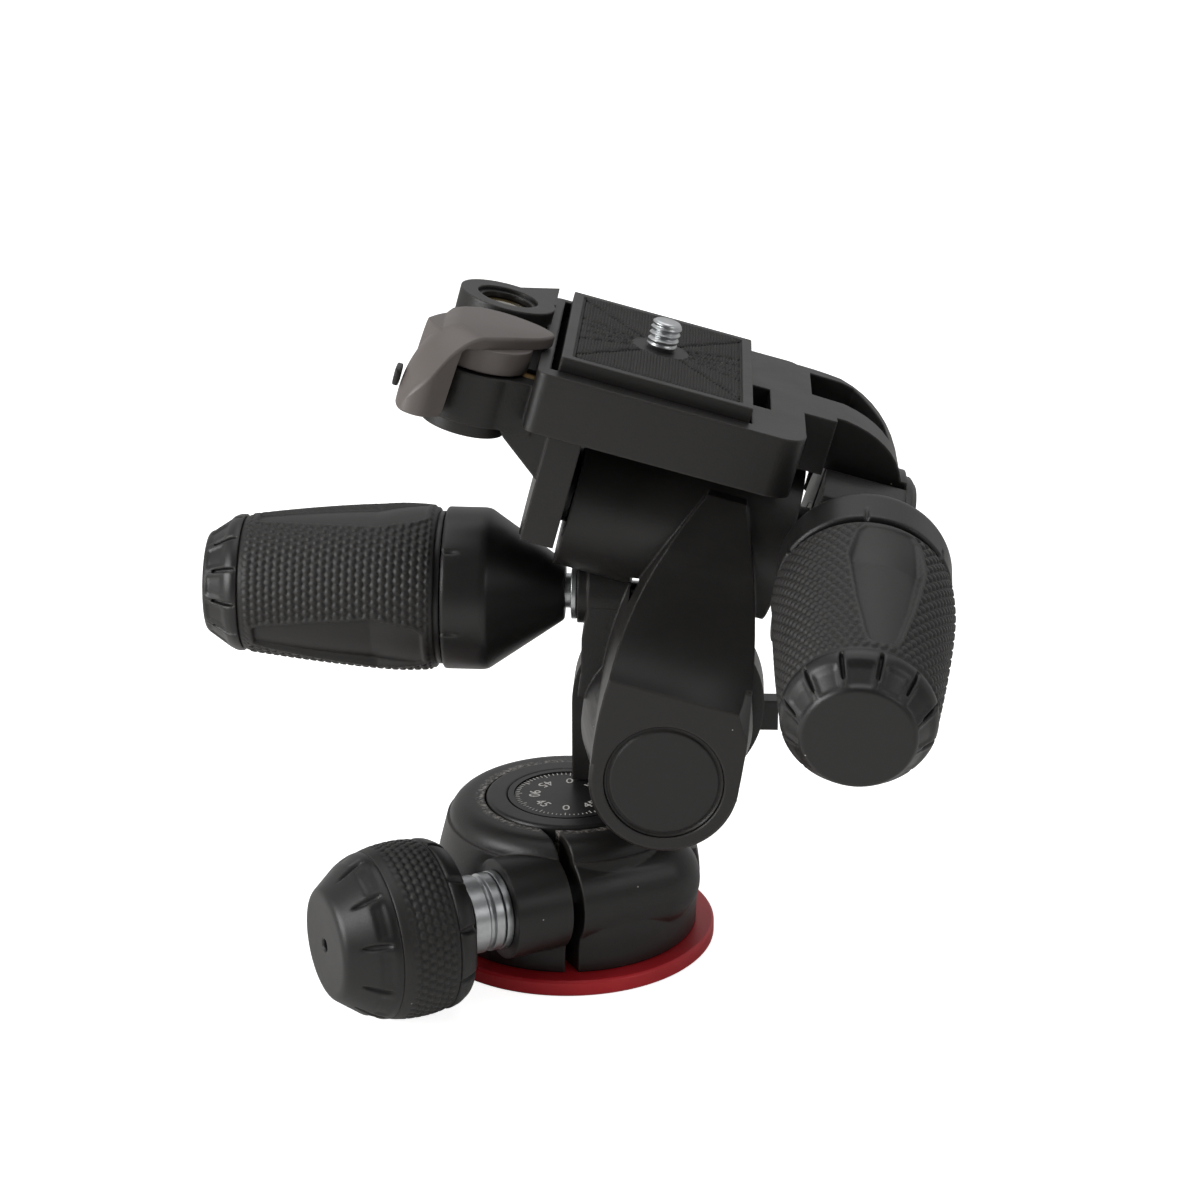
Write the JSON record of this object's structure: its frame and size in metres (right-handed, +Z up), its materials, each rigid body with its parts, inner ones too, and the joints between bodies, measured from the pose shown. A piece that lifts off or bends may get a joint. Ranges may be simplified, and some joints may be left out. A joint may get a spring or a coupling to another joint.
{
  "type": "three way pan tilt head",
  "caption": "Tripod head with separate pan, lateral tilt and front tilt movements, each locked by a knob or handle, and a quick release camera plate with lock lever.",
  "frame": {"origin": "middle of the base disc's underside, at the mouth of the tripod stud's hole", "axes": "+Z up from the tripod, +Y the way the lens looks, +X to the operator's right; the tilt arm leans 15.2 degrees to the right at rest"},
  "size_m": [0.1547, 0.1242, 0.146],
  "materials": {
    "frame_black": "glass filled moulding, satin with a fine grain",
    "moulded_black": "moulded, fine matt",
    "rubber_black": "knurled soft rubber",
    "zinc": "zinc plated",
    "turned_aluminium": "turned",
    "red_anodised": "red anodised",
    "dial_black": "black anodised with a white scale",
    "liner_acetal": "natural acetal",
    "brass": "turned",
    "lever_grey": "warm grey, satin",
    "level_fluid": "clear vial with yellow fluid"
  },
  "bodies": {
    "base": {"base_plate": "red_anodised", "base_screws": "zinc", "thread_bush": "zinc", "pan_spindle": "turned_aluminium", "keeper_ring": "moulded_black", "pan_dial": "dial_black"},
    "pan_body": {"pan_housing": "frame_black", "pan_liner": "liner_acetal", "pan_nut": "zinc", "lateral_axle": "turned_aluminium", "axle_nut": "zinc", "ear_cap": "moulded_black", "friction_washer": "liner_acetal", "axle_screw": "zinc"},
    "pan_knob": {"pan_screw": "zinc", "pan_cup": "zinc", "pan_washer": "zinc", "pan_knob_core": "moulded_black", "pan_knob_rubber": "rubber_black", "pan_knob_cap": "moulded_black"},
    "arm": {"tilt_arm": "frame_black", "lateral_bush": "liner_acetal", "pivot_cap": "moulded_black", "lateral_nut": "zinc", "front_axle": "turned_aluminium"},
    "lateral_handle": {"lateral_screw": "zinc", "lateral_washer": "zinc", "lateral_cone": "moulded_black", "lateral_rod": "turned_aluminium"},
    "lateral_grip": {"lateral_grip_core": "moulded_black", "lateral_grip_rubber": "rubber_black", "lateral_end_cap": "moulded_black"},
    "platform": {"platform": "frame_black", "front_bush": "liner_acetal", "cheek_bush": "liner_acetal", "axle_cap": "moulded_black", "cheek_cap": "moulded_black", "front_nut": "zinc", "level_vial": "level_fluid", "level_ring": "moulded_black", "plate_body": "frame_black", "plate_pad": "rubber_black", "lever_pin": "zinc"},
    "front_handle": {"front_screw": "zinc", "front_washer": "zinc", "front_cone": "moulded_black", "front_rod": "turned_aluminium"},
    "front_grip": {"front_grip_core": "moulded_black", "front_grip_rubber": "rubber_black", "front_end_cap": "moulded_black"},
    "lever": {"lever": "lever_grey", "lever_cam": "brass"},
    "tongue": {"lock_tongue": "brass"},
    "catch": {"safety_catch": "moulded_black"},
    "camera_screw": {"camera_screw": "zinc", "screw_loop": "zinc"}
  },
  "joints": [
    {"name": "pan", "type": "hinge", "parent": "base", "child": "pan_body", "pos_m": [0, 0, 0], "axis": [0, 0, 1], "continuous": true},
    {"name": "lateral_tilt", "type": "hinge", "parent": "pan_body", "child": "arm", "pos_m": [0.0214, 0, 0.0515], "axis": [0, 1, 0], "range_deg": [-30.2, 74.8]},
    {"name": "front_tilt", "type": "hinge", "parent": "arm", "child": "platform", "pos_m": [0.03307, 0, 0.09444], "axis": [0.965, 0, -0.2622], "range_deg": [-90, 30]},
    {"name": "pan_knob_turn", "type": "hinge", "parent": "pan_body", "child": "pan_knob", "pos_m": [0.00896, -0.01664, 0.0187], "axis": [-0.8805, -0.4741, 0], "range_deg": [0, 270]},
    {"name": "lateral_handle_turn", "type": "hinge", "parent": "arm", "child": "lateral_handle", "pos_m": [0.0284, 0.005, 0.07727], "axis": [-0.9999, 0, 0.0122], "range_deg": [0, 270]},
    {"name": "lateral_grip_slide", "type": "slide", "parent": "lateral_handle", "child": "lateral_grip", "axis": [-0.9999, 0, 0.0122], "range_m": [0, 0.028]},
    {"name": "front_handle_turn", "type": "hinge", "parent": "platform", "child": "front_handle", "pos_m": [0.06244, 0, 0.10263], "axis": [-0.0545, -0.9781, -0.2006], "range_deg": [0, 270]},
    {"name": "front_grip_slide", "type": "slide", "parent": "front_handle", "child": "front_grip", "axis": [-0.0545, -0.9781, -0.2006], "range_m": [0, 0.028]},
    {"name": "lever_swing", "type": "hinge", "parent": "platform", "child": "lever", "pos_m": [-0.0152, -0.019, 0.13916], "axis": [-0.2622, 0, -0.965], "range_deg": [0, 75]},
    {"name": "tongue_slide", "type": "slide", "parent": "platform", "child": "tongue", "axis": [-0.965, 0, 0.2622], "range_m": [0, 0.0016]},
    {"name": "catch_press", "type": "slide", "parent": "lever", "child": "catch", "axis": [-0.2622, 0, -0.965], "range_m": [0, 0.0025], "stiffness_N_per_m": 400},
    {"name": "camera_screw_turn", "type": "hinge", "parent": "platform", "child": "camera_screw", "pos_m": [0.01868, -0.001, 0.12996], "axis": [0.2622, 0, 0.965], "continuous": true}
  ],
  "couplings": [
    {"joint": "lever_swing", "follows": "tongue_slide", "rad_per_m": 818.1}
  ]
}
